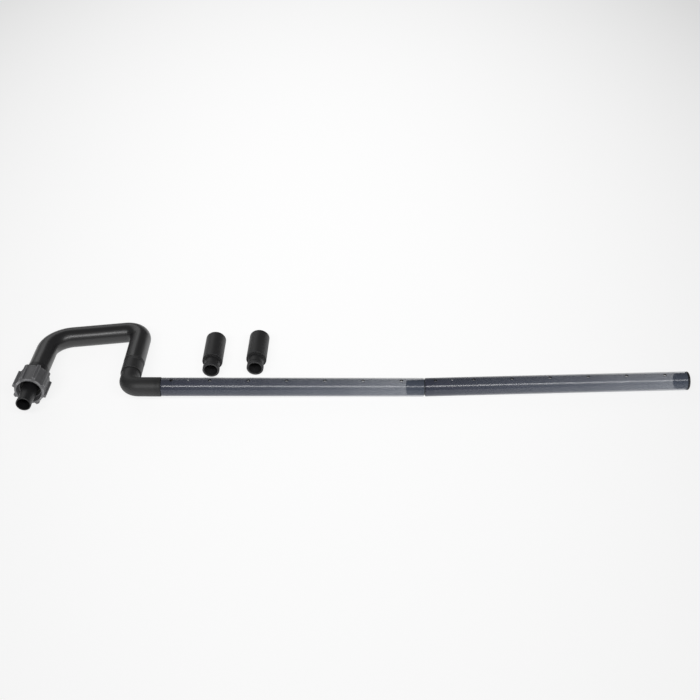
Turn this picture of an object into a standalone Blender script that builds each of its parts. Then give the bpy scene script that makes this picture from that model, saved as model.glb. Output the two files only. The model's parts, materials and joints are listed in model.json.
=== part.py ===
"""Spray bar outlet set for an aquarium canister filter, lying on a table.

A bent outlet pipe carries a hose tail with a union nut at one end and, through a coupling and an
elbow, two perforated bars at the other. Two loose adapters lie beside it.
"""
import math

import bmesh
import bpy
import numpy as np
from mathutils import Vector

MM = 0.001

# Running clearances between pieces
FIT = 0.3 * MM
FACE_GAP = 0.4 * MM

# Perforated bars
BAR_RADIUS = 10.0 * MM
BAR_WALL = 1.3 * MM
BAR_LENGTH = 282.0 * MM
BAR_END_ROUND = 0.5 * MM
BAR_JOINT_GAP = 0.9 * MM
HOLE_RADIUS = 1.4 * MM
HOLE_COUNT = 7
HOLE_PITCH = 41.0 * MM
HOLE_START = 11.3 * MM
HOLE_LEAN = math.radians(6.0)

# Push-in spigots and the sockets that take them
SOCKET_RADIUS = BAR_RADIUS - BAR_WALL
SPIGOT_REACH = 19.6 * MM
SPIGOT_WALL = 1.6 * MM
SPIGOT_PLAY = 0.35 * MM
SPIGOT_ROOT = 10.0 * MM
SOCKET_SPARE = 2.0 * MM
RING_SECTION = 0.6 * MM
RING_FROM_SHOULDER = 7.0 * MM
RING_GAP = 0.1 * MM

# Plug in the far bar end
PLUG_REACH = 12.0 * MM
PLUG_FLANGE = 1.8 * MM
PLUG_EDGE = 1.3 * MM
PLUG_FACET = 0.3 * PLUG_EDGE

# Bent outlet pipe: corners measured from the elbow's corner, in the plane of the bend
PIPE_RADIUS = 11.7 * MM
PIPE_WALL = 2.3 * MM
RIGHT_LEG = 111.4 * MM
LEG_SPACING = 103.7 * MM
TOP_SKEW = math.radians(5.85)
LEG_SPLAY = math.radians(0.9)
RIGHT_BEND = 17.0 * MM
LEFT_BEND = 28.0 * MM
RIGHT_CUT = 44.5 * MM
LEFT_CUT = 37.0 * MM

# Coupling between pipe and elbow
COUPLING_RADIUS = 11.4 * MM
COUPLING_END = 23.0 * MM
COUPLING_INSERT = 14.0 * MM
COUPLING_REACH = 13.0 * MM
COUPLING_EDGE = 0.5 * MM
COUPLING_BORE = 6.0 * MM

# Elbow
ELBOW_RADIUS = 10.45 * MM
ELBOW_BEND = 11.8 * MM
ELBOW_ARM = 36.0 * MM
ELBOW_BORE = 6.6 * MM

# Hose tail
TAIL_INSERT = 14.0 * MM
COLLAR_GAP = 1.2 * MM
COLLAR_RADIUS = 12.4 * MM
THREAD_CORE = 12.9 * MM
THREAD_CREST = 14.1 * MM
THREAD_PITCH = 3.5 * MM
THREAD_TURNS = 3
THREAD_HALF = 0.9 * MM
THREAD_SINK = 0.8 * MM
TAIL_BORE = 6.9 * MM
STUB_RADIUS = 8.1 * MM
STUB_NECK = 7.9 * MM
STUB_LIP = 3.0 * MM
STUB_END = -25.9 * MM
SHOULDER = 8.6 * MM
GASKET_THICK = 1.6 * MM
GASKET_RADIUS = 11.4 * MM

# Union nut
NUT_REAR = 24.3 * MM
NUT_LENGTH = 27.0 * MM
NUT_BORE = THREAD_CREST + 0.5 * MM
NUT_VALLEY = 15.9 * MM
NUT_RIB_RADIUS = 18.5 * MM
NUT_RIB_WIDTH = 3.6 * MM
NUT_RIBS = 8
NUT_RIB_TURN = math.radians(19.0)
NUT_MOUTH = 13.5 * MM
NUT_LIP_RADIUS = 12.1 * MM
NUT_LIP_DEPTH = 3.6 * MM
NUT_LIP_THICK = 1.6 * MM
NUT_CHAMFER = 0.8 * MM
NUT_THREAD_CREST = 13.3 * MM
NUT_THREAD_TURNS = 2

# Split clamp ring behind the nut's lip
CLAMP_INNER = 11.2 * MM
CLAMP_SLIT = 2.0 * MM
CLAMP_TAPER = 0.9 * MM

# Loose adapters: front spigot centre, measured from the bar joint, and heading
ADAPTER_RADIUS = 11.3 * MM
ADAPTER_SLEEVE = 40.8 * MM
ADAPTER_REACH = 15.2 * MM
ADAPTER_NECK = 8.6 * MM
ADAPTER_RIM = 9.4 * MM
ADAPTER_RIM_LENGTH = 3.6 * MM
ADAPTER_BORE = 7.3 * MM
ADAPTER_SOCKET = 30.0 * MM
ADAPTER_RECESS = 1.0 * MM
RECESS_INNER = 9.2 * MM
RECESS_OUTER = 10.4 * MM
RECESS_DRAFT = 0.1 * MM
SOCKET_TAPER = 2.0 * MM
ADAPTER_SPOTS = (
    (-233.5 * MM, 36.2 * MM, math.radians(-1.3)),
    (-184.8 * MM, 37.8 * MM, math.radians(-2.4)),
)

ROUND_STEPS = 28
RING_STEPS = 24
RING_SIDES = 6
CUT_OVERRUN = 1.0 * MM

MATERIALS = {
    "satin_black": ((0.020, 0.020, 0.022), 0.32),
    "moulded_black": ((0.030, 0.030, 0.033), 0.45),
    "nut_grey": ((0.115, 0.115, 0.125), 0.50),
    "smoky_blue": ((0.120, 0.135, 0.190), 0.22),
    "rubber": ((0.015, 0.015, 0.015), 0.75),
}


def clear_scene():
    for obj in list(bpy.data.objects):
        bpy.data.objects.remove(obj, do_unlink=True)
    for collection in list(bpy.data.collections):
        bpy.data.collections.remove(collection)


def new_collection(name):
    collection = bpy.data.collections.new(name)
    bpy.context.scene.collection.children.link(collection)
    return collection


def make_material(name):
    colour, roughness = MATERIALS[name]
    material = bpy.data.materials.new(name)
    material.use_nodes = True
    shader = material.node_tree.nodes["Principled BSDF"]
    shader.inputs["Base Color"].default_value = (*colour, 1.0)
    shader.inputs["Roughness"].default_value = roughness
    shader.inputs["Metallic"].default_value = 0.0
    return material


clear_scene()
parts = new_collection("spray_bar_outlet_set")
cutters = new_collection("cutters")


def add_empty(name, parent=None, location=(0, 0, 0), rotation=(0, 0, 0)):
    empty = bpy.data.objects.new(name, None)
    empty.empty_display_size = 0.02
    empty.parent = parent
    empty.location = location
    empty.rotation_euler = rotation
    parts.objects.link(empty)
    return empty


def add_object(name, mesh, parent, material=None, location=(0, 0, 0), rotation=(0, 0, 0)):
    """Places a mesh under an empty. A piece gets a material, a cutter or an addition has none."""
    obj = bpy.data.objects.new(name, mesh)
    obj.parent = parent
    obj.location = location
    obj.rotation_euler = rotation
    if material:
        parts.objects.link(obj)
        mesh.materials.append(make_material(material))
    else:
        cutters.objects.link(obj)
        obj.hide_render = True
        obj.display_type = "WIRE"
    return obj


def turn(obj, steps=ROUND_STEPS, rise=0.0, turns=1):
    """Turns an outline at +X about Z, or winds it into a helix when it rises."""
    screw = obj.modifiers.new("turn", "SCREW")
    screw.axis = "Z"
    screw.angle = math.tau
    screw.steps = steps
    screw.render_steps = steps
    screw.screw_offset = rise
    screw.iterations = turns
    screw.use_merge_vertices = rise == 0.0
    screw.merge_threshold = 0.00001
    screw.use_smooth_shade = True


def outline_mesh(name, outline):
    mesh = bpy.data.meshes.new(name)
    count = len(outline)
    points = [(radius, 0.0, height) for radius, height in outline]
    mesh.from_pydata(points, [(i, (i + 1) % count) for i in range(count)], [])
    return mesh


def turned(name, outline, parent, material=None, height=0.0, steps=ROUND_STEPS, **place):
    """A round piece: the outline is a closed loop of (radius, height), down outside and up inside."""
    obj = add_object(name, outline_mesh(name, outline), parent, material, (0, 0, height), **place)
    turn(obj, steps)
    return obj


def tube_outline(outer, inner, low, high, edge=0.0):
    """A plain tube wall, with its two outer edges chamfered when an edge width is given."""
    if not edge:
        return [(outer, high), (outer, low), (inner, low), (inner, high)]
    return [
        (outer - edge, high),
        (outer, high - edge),
        (outer, low + edge),
        (outer - edge, low),
        (inner, low),
        (inner, high),
    ]


def boolean(obj, other, operation):
    modifier = obj.modifiers.new(operation.lower(), "BOOLEAN")
    modifier.operation = operation
    modifier.object = other
    modifier.solver = "EXACT"


def smooth(mesh, angle=35.0):
    mesh.shade_smooth()
    mesh.set_sharp_from_angle(angle=math.radians(angle))


def evaluated_mesh(obj):
    bpy.context.view_layer.update()
    graph = bpy.context.evaluated_depsgraph_get()
    return bpy.data.meshes.new_from_object(obj.evaluated_get(graph))


def weld(mesh, fill_ends=False):
    work = bmesh.new()
    work.from_mesh(mesh)
    bmesh.ops.remove_doubles(work, verts=work.verts, dist=0.000005)
    if fill_ends:
        open_edges = [edge for edge in work.edges if edge.is_boundary]
        bmesh.ops.holes_fill(work, edges=open_edges)
        bmesh.ops.recalc_face_normals(work, faces=work.faces)
    work.to_mesh(mesh)
    work.free()


def rounded_path(corners, bends, steps):
    """Points along straight runs joined by arcs: one bend radius for each inner corner."""
    points = [corners[0]]
    for before, corner, after, radius in zip(corners, corners[1:], corners[2:], bends):
        back = (before - corner).normalized()
        ahead = (after - corner).normalized()
        half = back.angle(ahead) / 2
        centre = corner + (back + ahead).normalized() * (radius / math.sin(half))
        start = corner + back * (radius / math.tan(half)) - centre
        swing = math.pi - 2 * half
        normal = start.cross(corner - centre).normalized()
        side = normal.cross(start)
        for step in range(steps + 1):
            angle = swing * step / steps
            points.append(centre + start * math.cos(angle) + side * math.sin(angle))
    points.append(corners[-1])
    return points


def swept(name, points, radius, parent, material=None):
    """A round bar swept along points, as a closed mesh under its parent empty."""
    curve = bpy.data.curves.new(name, "CURVE")
    curve.dimensions = "3D"
    curve.bevel_depth = radius
    curve.bevel_resolution = (ROUND_STEPS - 4) // 2
    curve.use_fill_caps = True
    spline = curve.splines.new("POLY")
    spline.points.add(len(points) - 1)
    for point, place in zip(spline.points, points):
        point.co = (*place, 1.0)
    guide = bpy.data.objects.new(name, curve)
    cutters.objects.link(guide)
    mesh = evaluated_mesh(guide)
    bpy.data.objects.remove(guide)
    weld(mesh)
    smooth(mesh)
    return add_object(name, mesh, parent, material)


def lengthened(corners, extra):
    first = corners[0] + (corners[0] - corners[1]).normalized() * extra
    last = corners[-1] + (corners[-1] - corners[-2]).normalized() * extra
    return [first, *corners[1:-1], last]


def thread(name, outline, turns, parent, height, start):
    """A helical ridge with closed ends, from its triangular outline."""
    obj = add_object(name, outline_mesh(name, outline), parent)
    turn(obj, rise=THREAD_PITCH, turns=turns)
    mesh = evaluated_mesh(obj)
    bpy.data.objects.remove(obj)
    weld(mesh, fill_ends=True)
    return add_object(name, mesh, parent, None, (0, 0, height), (0, 0, start))


def o_ring(name, parent, height, radius):
    """A rubber ring, turned from a round section."""
    section = []
    for side in range(RING_SIDES):
        angle = -math.tau * side / RING_SIDES
        across = radius + RING_SECTION * math.cos(angle)
        section.append((across, RING_SECTION * math.sin(angle)))
    return turned(name, section, parent, "rubber", height, RING_STEPS)


def ring_seat(shoulder, socket_radius, reach=RING_FROM_SHOULDER):
    """Height, groove floor and ring radius for a ring whose outside just clears its socket."""
    radius = socket_radius - RING_GAP - FIT - RING_SECTION
    return shoulder + reach, radius - RING_SECTION - RING_GAP, radius


def grooved(surface, height, floor):
    """The outside points of a groove, going down past a ring at a height."""
    half = RING_SECTION + RING_GAP
    return [(surface, height + half), (floor, height + half), (floor, height - half),
            (surface, height - half)]


# Where the set rests: the top run and the nut lie on the table, the far bar along it
def resting_angles():
    """Angles of the bar nearest the elbow, of the legs and of the elbow on its spigot."""
    nut_side = math.pi / NUT_RIBS
    off_down = min(abs((math.pi / 2 - NUT_RIB_TURN) - 2 * nut_side * k) for k in range(NUT_RIBS))
    rib_rest = NUT_RIB_RADIUS * math.cos(off_down) + NUT_RIB_WIDTH / 2 * math.sin(off_down)
    run = RIGHT_LEG - NUT_REAR - LEG_SPACING * math.tan(TOP_SKEW)
    lean = math.atan2(rib_rest, run) - math.asin(PIPE_RADIUS / math.hypot(rib_rest, run))
    fall = math.sin(lean)
    corner_height = PIPE_RADIUS + RIGHT_LEG * fall
    pitch = math.asin((corner_height - BAR_RADIUS) / CORNER_TO_JOINT)
    roll = -math.asin(fall / math.cos(pitch))
    drop = math.tan(TOP_SKEW) * fall
    rise = math.sin(pitch)
    level = math.cos(pitch) * math.cos(roll)
    swivel = math.asin(-drop / math.hypot(rise, level)) - math.atan2(rise, level)
    return pitch, roll, swivel


CORNER_TO_JOINT = ELBOW_ARM + FACE_GAP + BAR_LENGTH + BAR_JOINT_GAP / 2
PITCH, ROLL, SWIVEL = resting_angles()
SPIGOT_RADIUS = SOCKET_RADIUS - SPIGOT_PLAY
SPIGOT_TIP = SPIGOT_RADIUS - SPIGOT_REACH * math.sin(PITCH)

# Empties: the set's origin, the bar joint, the near bar, the elbow and the bent pipe
set_origin = add_empty("set_origin")
bar_joint = add_empty("bar_joint", set_origin, (0, 0, BAR_RADIUS))
far_bar_axis = add_empty("far_bar_axis", bar_joint, (0, 0, 0), (0, math.pi / 2, 0))
near_bar = add_empty("near_bar", bar_joint, (0, 0, 0), (0, PITCH, 0))
near_bar_axis = add_empty("near_bar_axis", near_bar, (0, 0, 0), (0, math.pi / 2, 0))
elbow_corner = add_empty("elbow_corner", near_bar, (-CORNER_TO_JOINT, 0, 0), (ROLL, 0, 0))
bend_plane = add_empty("bend_plane", elbow_corner, (0, 0, 0), (0, SWIVEL, 0))
right_leg_axis = add_empty("right_leg_axis", bend_plane, (0, 0, 0), (math.pi / 2, 0, 0))
LEFT_CORNER = Vector((-LEG_SPACING, RIGHT_LEG - LEG_SPACING * math.tan(TOP_SKEW), 0))
LEFT_AXIS_X = -LEG_SPACING - LEFT_CORNER.y * math.tan(LEG_SPLAY)
left_leg_axis = add_empty("left_leg_axis", bend_plane, (LEFT_AXIS_X, 0, 0),
                          (math.pi / 2, 0, -LEG_SPLAY))


def bent_pipe():
    splay = math.tan(LEG_SPLAY)
    left_end = Vector((LEFT_AXIS_X + LEFT_CUT * splay, LEFT_CUT, 0))
    right_end = Vector((0, RIGHT_CUT, 0))
    corners = [right_end, Vector((0, RIGHT_LEG, 0)), LEFT_CORNER, left_end]
    bends = (RIGHT_BEND, LEFT_BEND)
    pipe = swept("u_bend", rounded_path(corners, bends, 8), PIPE_RADIUS, bend_plane, "satin_black")
    bore_path = rounded_path(lengthened(corners, CUT_OVERRUN), bends, 8)
    bore = swept("u_bend_bore", bore_path, PIPE_RADIUS - PIPE_WALL, bend_plane)
    boolean(pipe, bore, "DIFFERENCE")


def coupling():
    """Heights run towards the open end of the leg, so a place y on the leg is at -y."""
    rear = -RIGHT_CUT + FACE_GAP
    front = -COUPLING_END
    insert = PIPE_RADIUS - PIPE_WALL - FIT
    spigot = SOCKET_RADIUS - SPIGOT_PLAY
    ring_height, floor, ring_radius = ring_seat(front, SOCKET_RADIUS)
    outline = [
        (spigot - COUPLING_EDGE, front + COUPLING_REACH),
        (spigot, front + COUPLING_REACH - COUPLING_EDGE),
        *grooved(spigot, ring_height, floor),
        (spigot, front),
        (COUPLING_RADIUS - COUPLING_EDGE, front),
        (COUPLING_RADIUS, front - COUPLING_EDGE),
        (COUPLING_RADIUS, rear + COUPLING_EDGE),
        (COUPLING_RADIUS - COUPLING_EDGE, rear),
        (insert, rear),
        (insert, rear - COUPLING_INSERT),
        (COUPLING_BORE, rear - COUPLING_INSERT),
        (COUPLING_BORE, front + COUPLING_REACH),
    ]
    turned("coupling", outline, right_leg_axis, "moulded_black")
    o_ring("coupling_o_ring", right_leg_axis, ring_height, ring_radius)


def elbow():
    neck_end = Vector((0, COUPLING_END - FACE_GAP, 0))
    arm_end = Vector((ELBOW_ARM, 0, 0))
    corners = [neck_end, Vector((0, 0, 0)), arm_end]
    body = swept("elbow", rounded_path(corners, (ELBOW_BEND,), 8), ELBOW_RADIUS, elbow_corner,
                 "moulded_black")
    bore_path = rounded_path(lengthened(corners, CUT_OVERRUN), (ELBOW_BEND,), 8)
    boolean(body, swept("elbow_bore", bore_path, ELBOW_BORE, elbow_corner), "DIFFERENCE")
    sockets = (
        ("elbow_neck_socket", COUPLING_REACH, COUPLING_END, (math.pi / 2, 0, 0), -1),
        ("elbow_arm_socket", SPIGOT_REACH, ELBOW_ARM, (0, math.pi / 2, 0), 1),
    )
    for name, reach, face, rotation, way in sockets:
        low, high = sorted((way * (face - reach - SOCKET_SPARE), way * (face + CUT_OVERRUN)))
        solid = [(SOCKET_RADIUS, high), (SOCKET_RADIUS, low), (0, low), (0, high)]
        cutter = turned(name, solid, elbow_corner, rotation=rotation)
        boolean(body, cutter, "DIFFERENCE")


def bar(name, axis, start):
    """A perforated bar from its spigot end, with the spigot and its ring."""
    inner = SOCKET_RADIUS
    wall = tube_outline(BAR_RADIUS, inner, start, start + BAR_LENGTH, BAR_END_ROUND)
    tube = turned(name, wall, axis, "smoky_blue")
    for number in range(HOLE_COUNT):
        mesh = bpy.data.meshes.new(f"{name}_hole")
        work = bmesh.new()
        bmesh.ops.create_cone(work, cap_ends=True, segments=12, radius1=HOLE_RADIUS,
                              radius2=HOLE_RADIUS, depth=BAR_RADIUS)
        work.to_mesh(mesh)
        work.free()
        along = start + HOLE_START + number * HOLE_PITCH
        lean = Vector((-math.cos(HOLE_LEAN), -math.sin(HOLE_LEAN), 0))
        drill = add_object(f"{name}_hole_{number + 1}", mesh, axis, None,
                           lean * BAR_RADIUS + Vector((0, 0, along)),
                           lean.to_track_quat("Z", "Y").to_euler())
        boolean(tube, drill, "DIFFERENCE")

    ring_height, floor, ring_radius = ring_seat(0, inner)
    ring_at = start - ring_height
    tip = start - SPIGOT_REACH
    root = inner - FIT
    bore = SPIGOT_TIP - SPIGOT_WALL
    groove = RING_SECTION + RING_GAP
    slope = (SPIGOT_RADIUS - SPIGOT_TIP) / SPIGOT_REACH
    above = SPIGOT_RADIUS - slope * (ring_height - groove)
    below = SPIGOT_RADIUS - slope * (ring_height + groove)
    floor = min(floor, below - RING_SECTION)
    outline = [
        (root, start + SPIGOT_ROOT),
        (root, start + BAR_END_ROUND),
        (SPIGOT_RADIUS, start),
        (above, ring_at + groove),
        (floor, ring_at + groove),
        (floor, ring_at - groove),
        (below, ring_at - groove),
        (SPIGOT_TIP, tip + COUPLING_EDGE),
        (SPIGOT_TIP - COUPLING_EDGE, tip),
        (bore, tip),
        (bore, start + SPIGOT_ROOT),
    ]
    turned(f"{name}_spigot", outline, axis, "moulded_black")
    o_ring(f"{name}_o_ring", axis, ring_at, ring_radius)


def end_plug():
    shoulder = BAR_JOINT_GAP / 2 + BAR_LENGTH + FACE_GAP
    inner_end = shoulder - PLUG_REACH
    insert = SOCKET_RADIUS - FIT
    ring_height, floor, ring_radius = ring_seat(0, SOCKET_RADIUS)
    ring_at = shoulder - ring_height
    groove = RING_SECTION + RING_GAP
    floor = min(floor, insert - RING_SECTION)
    hollow = floor - SPIGOT_WALL
    face = shoulder + PLUG_FLANGE
    outline = [
        (0, face),
        (BAR_RADIUS - PLUG_EDGE, face),
        (BAR_RADIUS - PLUG_FACET, face - PLUG_FACET),
        (BAR_RADIUS, face - PLUG_EDGE),
        (BAR_RADIUS, shoulder),
        (insert, shoulder),
        *grooved(insert, ring_at, floor),
        (insert, inner_end + COUPLING_EDGE),
        (insert - COUPLING_EDGE, inner_end),
        (hollow, inner_end),
        (hollow, shoulder - SPIGOT_WALL),
        (0, shoulder - SPIGOT_WALL),
    ]
    turned("end_plug", outline, far_bar_axis, "moulded_black")
    o_ring("plug_o_ring", far_bar_axis, ring_at, ring_radius)


def hose_tail():
    """Heights run towards the hose end, so a place y on the leg is at -y."""
    rear = -LEFT_CUT + FACE_GAP
    insert = PIPE_RADIUS - PIPE_WALL - FIT
    collar_end = -NUT_REAR - COLLAR_GAP
    outline = [
        (STUB_RADIUS - COUPLING_EDGE, -STUB_END),
        (STUB_RADIUS, -STUB_END - COUPLING_EDGE),
        (STUB_RADIUS, -STUB_END - STUB_LIP),
        (STUB_NECK, -STUB_END - STUB_LIP - COUPLING_EDGE),
        (STUB_RADIUS, -SHOULDER + GASKET_THICK + 2 * FACE_GAP),
        (STUB_RADIUS, -SHOULDER),
        (THREAD_CORE - COUPLING_EDGE, -SHOULDER),
        (THREAD_CORE, -SHOULDER - COUPLING_EDGE),
        (THREAD_CORE, collar_end),
        (COLLAR_RADIUS, collar_end),
        (COLLAR_RADIUS, rear + COUPLING_EDGE),
        (COLLAR_RADIUS - COUPLING_EDGE, rear),
        (insert, rear),
        (insert, rear - TAIL_INSERT),
        (TAIL_BORE, rear - TAIL_INSERT),
        (TAIL_BORE, -STUB_END),
    ]
    tail = turned("hose_tail", outline, left_leg_axis, "moulded_black")
    ridge = [
        (THREAD_CREST, 0),
        (THREAD_CORE - THREAD_SINK, -THREAD_HALF),
        (THREAD_CORE - THREAD_SINK, THREAD_HALF),
    ]
    first = -SHOULDER - COUPLING_EDGE - THREAD_HALF - THREAD_TURNS * THREAD_PITCH
    boolean(tail, thread("tail_thread", ridge, THREAD_TURNS, left_leg_axis, first, 0), "UNION")

    gasket = tube_outline(GASKET_RADIUS, STUB_RADIUS + FIT,
                          -SHOULDER + FACE_GAP, -SHOULDER + FACE_GAP + GASKET_THICK)
    turned("hose_gasket", gasket, left_leg_axis, "rubber")


def union_nut():
    front = -NUT_REAR + NUT_LENGTH
    lip = front - NUT_LIP_DEPTH - NUT_LIP_THICK
    outline = [
        (NUT_VALLEY - NUT_CHAMFER, front),
        (NUT_VALLEY, front - NUT_CHAMFER),
        (NUT_VALLEY, -NUT_REAR + NUT_CHAMFER),
        (NUT_VALLEY - NUT_CHAMFER, -NUT_REAR),
        (NUT_BORE, -NUT_REAR),
        (NUT_BORE, lip),
        (NUT_LIP_RADIUS, lip),
        (NUT_LIP_RADIUS, front - NUT_LIP_DEPTH),
        (NUT_MOUTH, front),
    ]
    nut = turned("union_nut", outline, left_leg_axis, "nut_grey")
    boolean(nut, nut_ribs(), "UNION")
    wall = NUT_BORE + THREAD_SINK
    ridge = [(NUT_THREAD_CREST, 0), (wall, THREAD_HALF), (wall, -THREAD_HALF)]
    first = -SHOULDER - COUPLING_EDGE - THREAD_HALF - THREAD_TURNS * THREAD_PITCH
    first = first + THREAD_PITCH / 2
    ridges = thread("nut_thread", ridge, NUT_THREAD_TURNS, left_leg_axis, first, 0)
    boolean(nut, ridges, "UNION")

    clamp_front = lip - FACE_GAP
    clamp_rear = -SHOULDER + FACE_GAP + GASKET_THICK + FACE_GAP
    outside = NUT_BORE - FIT
    taper = [
        (outside - CLAMP_TAPER, clamp_front),
        (outside, clamp_front - CLAMP_TAPER),
        (outside, clamp_rear),
        (CLAMP_INNER, clamp_rear),
        (CLAMP_INNER, clamp_front),
    ]
    clamp = turned("clamp_ring", taper, left_leg_axis, "nut_grey")
    mesh = bpy.data.meshes.new("clamp_slit")
    work = bmesh.new()
    bmesh.ops.create_cube(work, size=1.0)
    bmesh.ops.scale(work, vec=(NUT_BORE, CLAMP_SLIT, NUT_LENGTH), verts=work.verts)
    work.to_mesh(mesh)
    work.free()
    middle = (clamp_front + clamp_rear) / 2
    slit = add_object("clamp_slit", mesh, left_leg_axis, None, (NUT_BORE, 0, middle))
    boolean(clamp, slit, "DIFFERENCE")


def nut_ribs():
    """Eight straight ribs around the nut, with softened edges."""
    depth = NUT_RIB_RADIUS - (NUT_BORE + NUT_VALLEY) / 2
    work = bmesh.new()
    for number in range(NUT_RIBS):
        added = bmesh.ops.create_cube(work, size=1.0)["verts"]
        length = NUT_LENGTH - 2 * NUT_CHAMFER
        bmesh.ops.scale(work, vec=(depth, NUT_RIB_WIDTH, length), verts=added)
        middle = Vector((NUT_RIB_RADIUS - depth / 2, 0, NUT_LENGTH / 2 - NUT_REAR))
        bmesh.ops.translate(work, vec=middle, verts=added)
        turned_by = NUT_RIB_TURN + math.tau * number / NUT_RIBS
        rotation = np.array([[math.cos(turned_by), -math.sin(turned_by), 0],
                             [math.sin(turned_by), math.cos(turned_by), 0],
                             [0, 0, 1]])
        for vertex in added:
            vertex.co = Vector(rotation @ np.array(vertex.co))
    bmesh.ops.bevel(work, geom=work.edges, offset=NUT_CHAMFER / 2, segments=1, affect="EDGES")
    mesh = bpy.data.meshes.new("nut_ribs")
    work.to_mesh(mesh)
    work.free()
    return add_object("nut_ribs", mesh, left_leg_axis)


def adapter(name, spot):
    """A loose adapter lying on the table: height 0 is the shoulder, the spigot points at +Z."""
    along, away, heading = spot
    centre = (along, away, ADAPTER_RADIUS - BAR_RADIUS)
    axis = add_empty(f"{name}_axis", bar_joint, centre, (math.pi / 2, 0, heading))
    shoulder = -ADAPTER_REACH
    rear = shoulder - ADAPTER_SLEEVE
    rim = -ADAPTER_RIM_LENGTH
    ring_at = rim - RING_SECTION - RING_GAP
    ring_radius = ADAPTER_RIM - RING_SECTION
    floor = ring_radius - RING_SECTION - RING_GAP
    groove_end = ring_at - RING_SECTION - RING_GAP
    outline = [
        (ADAPTER_RIM - COUPLING_EDGE, 0),
        (ADAPTER_RIM, -COUPLING_EDGE),
        (ADAPTER_RIM, rim),
        (floor, rim),
        (floor, groove_end),
        (ADAPTER_NECK, groove_end),
        (ADAPTER_NECK, shoulder),
        (RECESS_INNER, shoulder),
        (RECESS_INNER + RECESS_DRAFT, shoulder - ADAPTER_RECESS),
        (RECESS_OUTER - RECESS_DRAFT, shoulder - ADAPTER_RECESS),
        (RECESS_OUTER, shoulder),
        (ADAPTER_RADIUS - COUPLING_EDGE, shoulder),
        (ADAPTER_RADIUS, shoulder - COUPLING_EDGE),
        (ADAPTER_RADIUS, rear + COUPLING_EDGE),
        (ADAPTER_RADIUS - COUPLING_EDGE, rear),
        (SOCKET_RADIUS, rear),
        (SOCKET_RADIUS, rear + ADAPTER_SOCKET),
        (ADAPTER_BORE, rear + ADAPTER_SOCKET + SOCKET_TAPER),
        (ADAPTER_BORE, 0),
    ]
    turned(name, outline, axis, "moulded_black")
    o_ring(f"{name}_o_ring", axis, ring_at, ring_radius)


def centre_on_table():
    """Moves the set so that its box stands on z = 0 and is centred on the origin."""
    bpy.context.view_layer.update()
    graph = bpy.context.evaluated_depsgraph_get()
    corners = []
    for obj in parts.objects:
        if obj.type != "MESH":
            continue
        solid = obj.evaluated_get(graph)
        mesh = solid.to_mesh()
        points = np.empty(len(mesh.vertices) * 3)
        mesh.vertices.foreach_get("co", points)
        matrix = np.array(solid.matrix_world)
        points = points.reshape(-1, 3) @ matrix[:3, :3].T + matrix[:3, 3]
        corners += [points.min(axis=0), points.max(axis=0)]
        solid.to_mesh_clear()
    low = np.min(corners, axis=0)
    high = np.max(corners, axis=0)
    middle = (low + high) / 2
    set_origin.location = (-middle[0], -middle[1], -low[2])
    bpy.context.view_layer.update()


bent_pipe()
coupling()
elbow()
bar("bar_1", near_bar_axis, -BAR_LENGTH - BAR_JOINT_GAP / 2)
bar("bar_2", far_bar_axis, BAR_JOINT_GAP / 2)
end_plug()
hose_tail()
union_nut()
adapter("adapter_1", ADAPTER_SPOTS[0])
adapter("adapter_2", ADAPTER_SPOTS[1])
centre_on_table()
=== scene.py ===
import json
import math

import bmesh
import bpy
from mathutils import Matrix, Vector


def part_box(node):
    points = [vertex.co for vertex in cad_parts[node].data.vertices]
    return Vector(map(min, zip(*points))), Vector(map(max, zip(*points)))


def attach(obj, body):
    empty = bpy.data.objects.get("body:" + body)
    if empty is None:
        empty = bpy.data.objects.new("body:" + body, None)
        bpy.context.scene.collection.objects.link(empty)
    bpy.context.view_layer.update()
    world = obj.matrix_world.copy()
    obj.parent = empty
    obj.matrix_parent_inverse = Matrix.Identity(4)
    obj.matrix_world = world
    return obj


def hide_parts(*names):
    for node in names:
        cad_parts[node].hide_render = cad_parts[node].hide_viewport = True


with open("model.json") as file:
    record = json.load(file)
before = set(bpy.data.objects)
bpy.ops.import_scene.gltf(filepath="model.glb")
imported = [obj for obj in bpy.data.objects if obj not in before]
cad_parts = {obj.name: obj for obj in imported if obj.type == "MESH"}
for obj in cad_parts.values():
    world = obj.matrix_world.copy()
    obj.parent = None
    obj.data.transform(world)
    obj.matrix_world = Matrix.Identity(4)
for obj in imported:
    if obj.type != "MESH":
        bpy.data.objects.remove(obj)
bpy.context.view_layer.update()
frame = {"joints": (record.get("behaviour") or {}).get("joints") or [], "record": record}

mm = 0.001  # outlines, places and sizes below are in millimetres
fullTurn = 2 * math.pi


# Axes, read from the frame's joints

def jointLine(name):
    joint = next(j for j in frame["joints"] if j["name"] == name)
    return Vector(joint["pos_m"]) / mm, Vector(joint["axis"]).normalized()


barJoint, farHeading = jointLine("bar_2_swivel")
nearHeading = jointLine("bar_1_swivel")[1]
elbowCorner, rightHeading = jointLine("elbow_swivel")
leftStart, leftHeading = jointLine("nut_spin")
bendUp = leftHeading.cross(elbowCorner - leftStart).normalized()  # square to the bent pipe's plane
toTop = -rightHeading
toRight = toTop.cross(bendUp)


# Lines that pieces are turned round: at(s) gives the centre and the two directions across

def straightLine(origin, heading, side):
    across = heading.cross(side).normalized()
    side = across.cross(heading)
    return {"at": lambda s: (origin + heading * s, side, across), "rings": []}


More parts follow.
